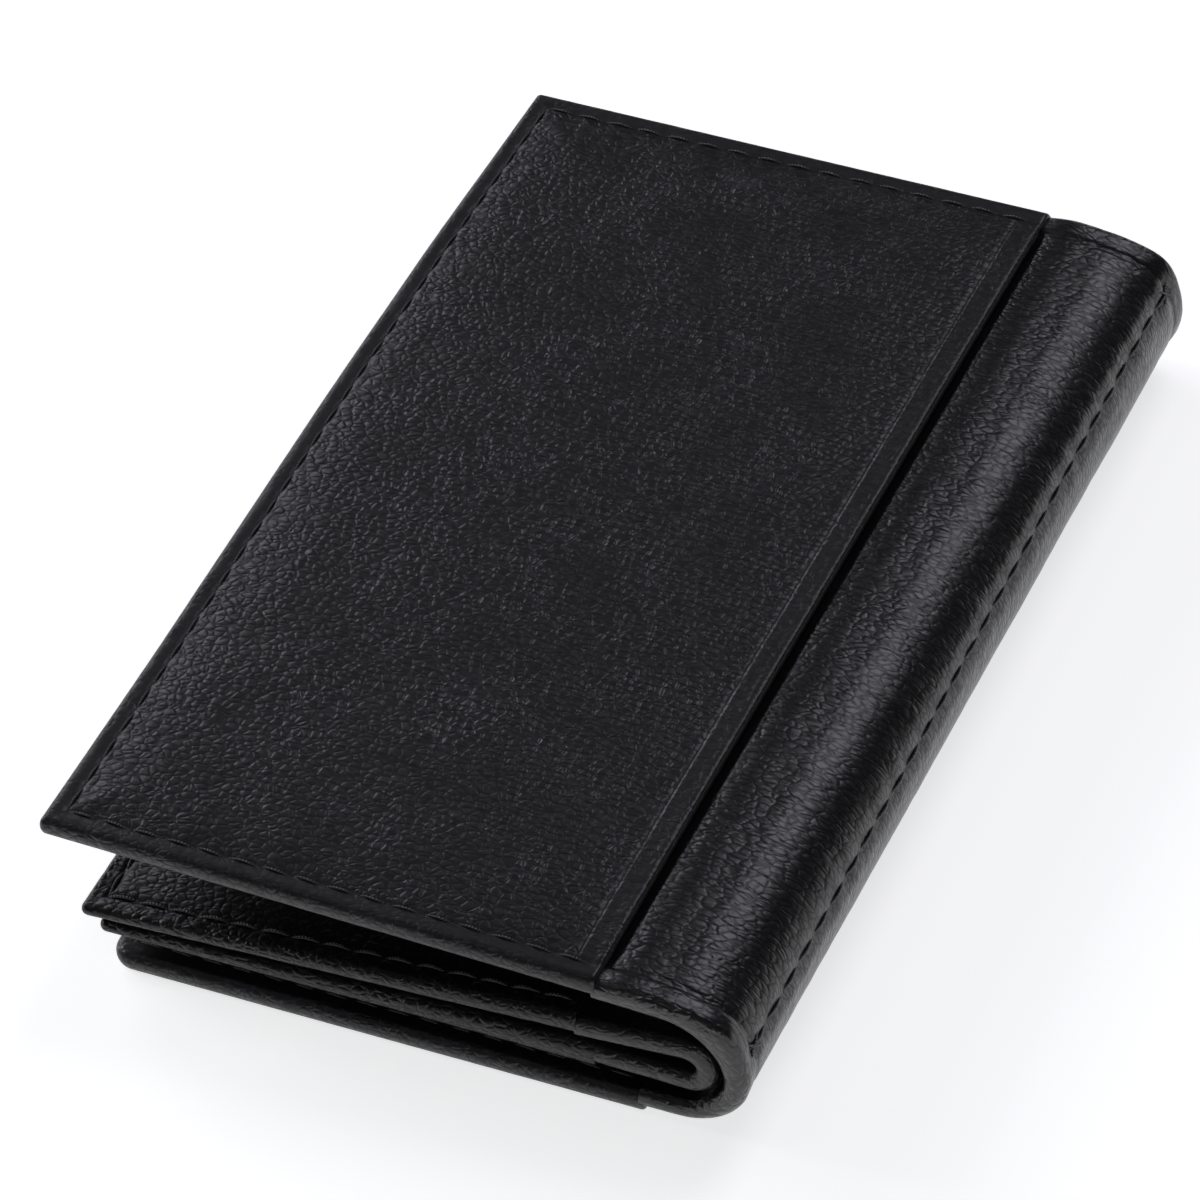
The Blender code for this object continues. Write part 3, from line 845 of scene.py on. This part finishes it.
def lining_piece(name, low, high):
    """Lining inside the shell, flush with the turned hems."""
    half = HALF - HEM - LINING_GAP
    s = lines(low, high, 1.0, False, False)
    s, y = np.meshgrid(s, lines(-half, half, 1.0, True, True), indexing="ij")
    f = half - np.abs(y)
    soft = 0.04 * noise(s / 9, y / 9, 71) * ramp(f, 0, 4)
    heights = LINING_TOP - roll(f, 0.12), LINING_UNDER + soft + roll(f, 0.2)
    return sheet_on(SHELL, name, s, y, heights, LINING_LOOK, LINING_PLACE)


def bend(obj, which, slot, nodes):
    """Shows a sheet in place of CAD nodes; it stays fixed where it was built and does not follow the bodies."""
    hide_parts(*nodes)
    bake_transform(obj)


front_pocket = Pocket(FRONT_SEAM, FRONT_EDGE, 1, 11, 0.7, 0.7)
back_pocket = Pocket(BACK_SEAM, BACK_EDGE, -1, 23, 2.4, 0.0)
for pocket, title, body in ((front_pocket, "front", "front_cover"), (back_pocket, "back", "back_cover")):
    panel = pocket.make(title + "_pocket_leather")
    rigid(panel, body, title + "_slip_pocket")
    cover_stitching(title + "_stitches", pocket, body, title + "_stitching")

S_STITCH, S_LOWER = spine_s(STITCH_ANGLE), spine_s(LOWER_ANGLE)
UNDERLAP = 0.35  # the shell's shown leather ends this far under the pockets
FRONT_SHELL_END, BACK_SHELL_END = FRONT_SEAM + UNDERLAP, -ARC - BACK_SEAM - UNDERLAP
SHELL_PIECES = (
    ("front_shell", S_STITCH, FRONT_SHELL_END, 1, "front", ("front_shell_leather", "spine_upper_leather")),
    ("spine_middle", S_LOWER, S_STITCH, 0, "middle", ("spine_upper_leather", "spine_lower_leather")),
    ("back_shell", BACK_SHELL_END, S_LOWER, -1, "rear", ("back_shell_leather", "spine_lower_leather")),
)
for title, low, high, tongue, where, nodes in SHELL_PIECES:
    bend(shell_piece(title + "_leather_sheet", low, high, tongue), where, "black_leather", nodes)

FRONT_LINING_END = FRONT_EDGE - HEM - LINING_GAP
BACK_LINING_END = -ARC - BACK_EDGE + HEM + LINING_GAP
LINING_PIECES = (
    ("front", S_STITCH, FRONT_LINING_END, "front", ("front_lining", "spine_upper_lining")),
    ("spine_middle", S_LOWER, S_STITCH, "middle", ("spine_upper_lining", "spine_lower_lining")),
    ("back", BACK_LINING_END, S_LOWER, "rear", ("back_lining", "spine_lower_lining")),
)
for title, low, high, where, nodes in LINING_PIECES:
    bend(lining_piece(title + "_lining_sheet", low, high), where, "lining_leather", nodes)

for node in ("front_stiffener", "back_stiffener"):
    frame["nodes"][node].data.materials.clear()
    frame["nodes"][node].data.materials.append(BOARD_LOOK)


# ---- spine seam

SEAM_LIFT = 0.05  # the seam's thread lies this much over the leather
TACK_ENDS = (SEAM_HALF + 0.2, SEAM_HALF - 1.9)  # places of a bar tack's needle holes
TACK_SPREAD = (-0.9, 0.9, 0.3)  # where its three stitches start beside the seam


def on_seam(s, y, lift):
    return on_path(SHELL, s, y, shell_outer(s, y, HALF - np.abs(y)) + SEAM_LIFT + lift)


seam_holes = [(stitch_s(y), y) for y in (-SEAM_HALF + i * SEAM_HOLES for i in range(SEAM_ROWS + 1))]
segments = pairs(seam_holes)
for end in (-1, 1):
    y0, y1 = (end * place for place in TACK_ENDS)
    s0, s1 = stitch_s(y0), stitch_s(y1)
    segments += [((s0 + spread, y0), (s1 - spread, y1)) for spread in TACK_SPREAD]
seam = stitch_tubes("spine_stitches", segments, on_seam, radius=0.15)
rigid(seam, "spine", "spine_stitching")


# ---- booklet

def tapers(node):
    """x and the low and high faces of a leaf layer at its free edge and at its other end."""
    p = node_mm(node)
    ends = []
    for x in (p[:, 0].min(), p[:, 0].max()):
        z = p[np.abs(p[:, 0] - x) < 0.01, 2]
        ends.append((float(x), float(z.min()), float(z.max())))
    return ends


LEAF_HALF = float(node_mm("front_leaf_outer_pocket")[:, 1].max())
LEAF_CORNER = 0.8  # radius of a leaf's corners
LEAF_THREAD, LEAF_RISE, LEAF_LIFT = 0.17, 0.12, 0.08  # radius of its thread, height of a stitch


def crinkled(d):
    """Strength of the grain: the leather crinkles on a rolled edge."""
    return 1.0 + 0.8 * (1 - ramp(d, 0.4, 1.2))


class Leaf:
    """One leaf of the booklet.  sign is +1 for the leaf under the front cover, -1 for the other."""

    LAST_HOLE = 1.0  # last needle hole of the end rows, from the open edge
    OUTER_GRAIN, INNER_GRAIN = 500.0, 900.0  # where the pockets' grain is cut from
    GRAIN_APART = 90  # how far the two leaves' grain is cut to both sides of that

    def __init__(self, side, sign):
        self.side, self.sign = side, sign
        self.outer_ends = tapers(side + "_leaf_outer_pocket")
        self.inner_ends = tapers(side + "_leaf_inner_pocket")
        self.free, self.step = self.outer_ends[0][0], self.outer_ends[1][0]
        self.seed = 50 if sign > 0 else 60
        self.rows, self.holes = even_stitches(self.step - self.free - INSET - self.LAST_HOLE)
        self.side_rows, self.side_holes = even_stitches(2 * (LEAF_HALF - INSET))

    def level(self, x, ends, face):
        """Height of a layer's lower (0) or upper (1) face."""
        (xa, *za), (xb, *zb) = ends
        share = (x - xa) / (xb - xa)
        return za[face] + (zb[face] - za[face]) * share

    def outer_face(self, x):
        return self.level(x, self.outer_ends, 1 if self.sign > 0 else 0)

    def inner_face(self, x):
        return self.level(x, self.inner_ends, 0 if self.sign > 0 else 1)

    def height(self, x, y, e, f, d, seed):
        """Relief of a pocket face, outwards."""
        a = self.step - x
        side = (y + LEAF_HALF - INSET) / self.side_holes
        end = (x - self.free - INSET) / self.holes
        hole = needle_holes(np.where(e < f, side, end))
        h = -(0.08 + 0.08 * hole) * bell(d - INSET, 0.34) * ramp(a, 0.3, 1.2)
        h = h + 0.16 * (1 - np.exp(-np.maximum(d - INSET, 0) / 3)) * ramp(a, 0, 6)
        h -= roll(a, 0.3)
        h += ridge(a, 2.6, 0.24, -0.08) * ramp(d, 2.4, 4)
        h += 0.06 * noise(x / 0.9, y / 0.9, seed + 4) * bell(d - 0.9, 0.9)
        return h + relief(x, y, seed) * ramp(d, 0.6, 3)

    def edge_radius(self, x):
        """Half the thickness of the turned edge."""
        full = np.abs(self.outer_face(x) - self.inner_face(x)) / 2
        return np.clip(full, 0.5, 1.3)

    def pocket_grid(self, inset):
        x = lines(self.free + inset, self.step, LEAF_GRID, True, True)
        y = lines(-LEAF_HALF + inset, LEAF_HALF - inset, LEAF_GRID, True, True)
        x, y = np.meshgrid(x, y, indexing="ij")
        e, f, d = rounded_corner(x - self.free - inset, LEAF_HALF - inset - np.abs(y), LEAF_CORNER)
        return self.free + inset + e, np.sign(y) * (LEAF_HALF - inset - f), e, f, d

    def pocket(self, title, x, y, top, under, way, grain, amount=None):
        """A pocket between two faces given as z; way is +1 where the shown face looks up."""
        faces = (np.stack([x, y, z], -1) for z in (top, under))
        offset = (grain + self.sign * self.GRAIN_APART, 0, 0)
        heights = way * top, way * under
        return slab(self.side + title, *faces, x, y, heights, SHADED_LEAF_LOOK, offset, amount)

    def outer_pocket(self):
        """The pocket that faces the cover, with its turned hem on the leaf's other side."""
        x, y, e, f, d = self.pocket_grid(0.0)
        radius = self.edge_radius(x)
        top = self.outer_face(x) + self.sign * (self.height(x, y, e, f, d, self.seed) - roll(d, radius))
        crinkles = 0.04 * noise(x / 1.3, y / 1.3, self.seed + 9)
        hem = self.inner_face(x) + self.sign * (roll(d, radius) + crinkles)
        panel = self.level(x, self.outer_ends, 0 if self.sign > 0 else 1)
        under = np.where(d < LEAF_HEM, hem, panel)
        title = "_leaf_outer_pocket_leather"
        return self.pocket(title, x, y, top, under, self.sign, self.OUTER_GRAIN, crinkled(d))

    def inner_pocket(self):
        """The pocket that faces the other leaf, inside the turned hem."""
        inset = LEAF_HEM + 0.12
        x, y, e, f, d = self.pocket_grid(inset)
        relief_h = self.height(x, y, e + inset, f + inset, d + inset, self.seed + 3)
        face = self.inner_face(x) - self.sign * (relief_h - roll(d, 0.16))
        under = self.level(x, self.inner_ends, 1 if self.sign > 0 else 0) - self.sign * 0.03
        under = under - self.sign * roll(d, 0.1)
        return self.pocket("_leaf_inner_pocket_leather", x, y, face, under, -self.sign, self.INNER_GRAIN)

    def path(self, node, radius):
        """Line along a sheet's outer face, from the fold's apex to where the free edge's hem starts.

        Also gives the sheet's thickness at the free edge."""
        face = 1 if self.sign > 0 else 0
        free_x, *free_z = tapers(node)[0]
        points = node_mm(node)
        near_step = points[np.abs(points[:, 0] - self.step) < 0.05, 2]
        step_z = float(near_step.max() if self.sign > 0 else near_step.min())
        end_x = free_x + LEAF_HEM + 0.3
        share = (self.step - free_x - LEAF_HEM - 0.3) / (self.step - free_x)
        end_z = step_z + (free_z[face] - step_z) * share
        way = arc_points(FOLD, radius, 0.0, self.sign * math.pi / 2, 40)
        way += [np.array([self.step, step_z]), np.array([end_x, end_z])]
        return Path(way, 0.0, self.sign), free_z[1] - free_z[0]

    def sheet(self, title, node, radius, thick_fold, look, hem, offset):
        """Booklet leather or lining: hemmed round the fold and the leg, then flat between the pockets."""
        path, thick_free = self.path(node, radius)
        fold_end = radius * math.pi / 2
        drop = path.at(fold_end, 0)[1] - path.at(fold_end + 10, 0)[1]
        step_s = fold_end + float(np.hypot(FOLD[0] - self.step, drop))
        total = path.s[-1] - Path.REACH
        under_pocket = [step_s + 0.5], np.arange(step_s + 2, total, 3.0), [total]
        s = np.concatenate([np.linspace(0, step_s + 0.3, 60), *under_pocket])
        half = LEAF_HALF if hem else LEAF_HALF - LEAF_HEM - 0.2
        y = lines(-half, half, 0.5 if hem else 1.0, True, True)
        s, y = np.meshgrid(s, y, indexing="ij")
        f = half - np.abs(y)
        beyond = s > step_s + 0.4
        share = np.clip((s - fold_end) / max(total - fold_end, 1), 0, 1)
        thickness = thick_fold + (thick_free - thick_fold) * share
        width = np.where(beyond, (LEAF_HALF - LEAF_HEM - BETWEEN_HEMS) / half, 1.0)
        if hem:
            plump = 0.05 * noise(s / 1.2, y / 1.2, self.seed + 8) + ridge(f, 1.2, 0.8, 0.05)
            outer_h = np.where(beyond, 0.0, -roll(f, FOLD_ROLL) + plump)
            turned = np.where(f < LEAF_HEM, -FOLD_HEM_DEPTH + roll(f, FOLD_ROLL), -thickness)
            inner_h = np.where(beyond, -thickness, turned)
        else:
            outer_h = -roll(f, 0.1)
            inner_h = -thickness + roll(f, 0.1)
        return sheet_on(path, title, s, y, (outer_h, inner_h), look, offset, crinkled(f), width)

    def stitches(self, title, facing):
        """Seam round the leaf's three edges; facing is +1 on the outer pocket, -1 on the inner one."""
        last = self.free + INSET
        ends = [last + i * self.holes for i in range(self.rows, -1, -1)]
        segments = three_rows(ends, last, LEAF_HALF - INSET, self.side_rows, self.side_holes)

        def place(x, y, lift):
            e, f = x - self.free, LEAF_HALF - np.abs(y)
            h = self.height(x, y, e, f, np.minimum(e, f), self.seed) + LEAF_LIFT + lift
            face = self.outer_face(x) if facing > 0 else self.inner_face(x)
            return np.stack([x, y, face + self.sign * facing * h], -1)

        return stitch_tubes(title, segments, place, LEAF_THREAD, LEAF_RISE)


LINING_R = float(node_mm("booklet_fold_lining")[:, 0].max() - FOLD[0])
# Radius, thickness at the fold, look, slot, whether it has hems, and where its grain is cut from
BOOKLET_SHEETS = (
    ("leather", FOLD_R, 0.9, FOLD_LOOK, "black_leather", True, 1300.0),
    ("lining", LINING_R, 0.8, LINING_LOOK, "lining_leather", False, 1700.0),
)
for side, sign in (("front", 1), ("rear", -1)):
    leaf = Leaf(side, sign)
    body = side + "_leaf"
    rigid(leaf.outer_pocket(), body, body + "_outer_pocket")
    rigid(leaf.inner_pocket(), body, body + "_inner_pocket")
    for facing, suffix in ((1, "_outside"), (-1, "_inside")):
        piece = leaf.stitches(body + "_stitches" + suffix, facing)
        rigid(piece, body, body + "_stitching")
    for kind, radius, thick, look, slot, hem, grain in BOOKLET_SHEETS:
        node = body + "_" + kind
        offset = (grain + sign * leaf.GRAIN_APART, 0, 0)
        piece = leaf.sheet("booklet_" + side + "_" + kind, node, radius, thick, look, hem, offset)
        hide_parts(node, "booklet_fold_" + kind)
        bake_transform(piece)


# ---- floor, light, camera

FLOOR_HALF = 4.0  # metres
FLOOR_GLOW = 0.69  # keeps the floor nearly white, with a faint shadow


def white_floor():
    """A white floor under the wallet."""
    mesh = bpy.data.meshes.new("floor")
    corners = [(x * FLOOR_HALF, y * FLOOR_HALF, 0) for x, y in ((-1, -1), (1, -1), (1, 1), (-1, 1))]
    mesh.from_pydata(corners, [], [(0, 1, 2, 3)])
    floor = in_scene("floor", mesh)
    t = Nodes("white_floor")
    t.surface.inputs["Base Color"].default_value = (0.9, 0.9, 0.9, 1)
    t.surface.inputs["Roughness"].default_value = 0.6
    t.surface.inputs["Emission Color"].default_value = (0.985, 0.99, 1.0, 1)
    t.surface.inputs["Emission Strength"].default_value = FLOOR_GLOW
    mesh.materials.append(t.material)


AIM = Vector((0.005, 0.0, 0.010))  # what the softboxes face, in metres


def softbox(name, direction, distance, width, height, radiance, tint=(1.0, 1.0, 1.0)):
    """A rectangular soft light that faces the wallet; sizes are in metres."""
    light = bpy.data.lights.new(name, "AREA")
    light.shape = "RECTANGLE"
    light.size, light.size_y = width, height
    light.energy = radiance * math.pi * width * height
    light.color = tint
    lamp = in_scene(name, light)
    towards = Vector(direction).normalized()
    lamp.location = AIM + towards * distance
    lamp.rotation_euler = towards.to_track_quat("Z", "Y").to_euler()


# Sine of the elevation and brightness, at the horizon and above
SKY_FADE = {"From Min": 0.0, "From Max": 0.2, "To Min": 0.45, "To Max": 0.035}


def studio_world():
    """A dim studio: bright near the horizon, dark above."""
    world = bpy.data.worlds.new("studio")
    bpy.context.scene.world = world
    world.use_nodes = True
    nodes, link = world.node_tree.nodes, world.node_tree.links.new
    sky = nodes["Background"]
    place, split, fade = (nodes.new("ShaderNode" + kind) for kind in ("TexCoord", "SeparateXYZ", "MapRange"))
    fade.interpolation_type = "SMOOTHSTEP"
    for socket, value in SKY_FADE.items():
        fade.inputs[socket].default_value = value
    link(place.outputs["Generated"], split.inputs[0])
    link(split.outputs[2], fade.inputs[0])
    link(fade.outputs[0], sky.inputs["Strength"])
    sky.inputs["Color"].default_value = (0.96, 0.98, 1.0, 1)


VIEW_AZIMUTH, VIEW_ELEVATION = math.radians(32.04), math.radians(43.836)
VIEW_TURN = math.radians(-10.0)
VIEW_RIGHT, VIEW_UP, VIEW_DISTANCE = -23.1686, 13.7183, 569.117  # mm
VIEW_START = 21.784  # x of the point the two shifts start from, mm
VIEW_SHIFT = 0.66  # along the turned image, mm
LENS, SENSOR = 175.5, 36.0


def add_camera():
    """Seen from the near right corner, 44 degrees up, the camera turned 10 degrees about its axis."""
    flat, high = math.cos(VIEW_ELEVATION), math.sin(VIEW_ELEVATION)
    back = Vector((math.sin(VIEW_AZIMUTH) * flat, -math.cos(VIEW_AZIMUTH) * flat, high))
    right = Vector((math.cos(VIEW_AZIMUTH), math.sin(VIEW_AZIMUTH), 0.0))
    up = back.cross(right)
    image_x = right * math.cos(VIEW_TURN) + up * math.sin(VIEW_TURN)
    image_y = -right * math.sin(VIEW_TURN) + up * math.cos(VIEW_TURN)
    target = Vector((VIEW_START, 0, 0)) * MM + right * (VIEW_RIGHT * MM) + up * (VIEW_UP * MM)
    target += image_x * (VIEW_SHIFT * MM)
    camera = bpy.data.cameras.new("camera")
    camera.sensor_width = SENSOR
    camera.lens = LENS
    holder = in_scene("camera", camera)
    pose = Matrix((image_x, image_y, back)).transposed().to_4x4()
    pose.translation = target + back * (VIEW_DISTANCE * MM)
    holder.matrix_world = pose
    bpy.context.scene.camera = holder


COOL = (0.91, 0.90, 1.0)
white_floor()
studio_world()
softbox("key_behind", (0.13, 0.60, 0.76), 1.15, 0.46, 0.60, 2.9, COOL)
softbox("fill_left", (-0.92, 0.75, 0.60), 1.2, 0.44, 0.44, 3.6, COOL)
softbox("side_left", (-0.95, 0.10, 0.42), 1.3, 0.6, 0.5, 5.5)
softbox("front_low", (0.20, -0.95, 0.34), 1.4, 0.9, 0.4, 2.4)
softbox("right_low", (0.75, -0.62, 0.28), 1.4, 0.9, 0.4, 1.3)
softbox("overhead", (-0.35, -0.15, 0.92), 1.2, 0.3, 0.3, 0.8)
add_camera()
bpy.context.scene.view_settings.view_transform = "Standard"
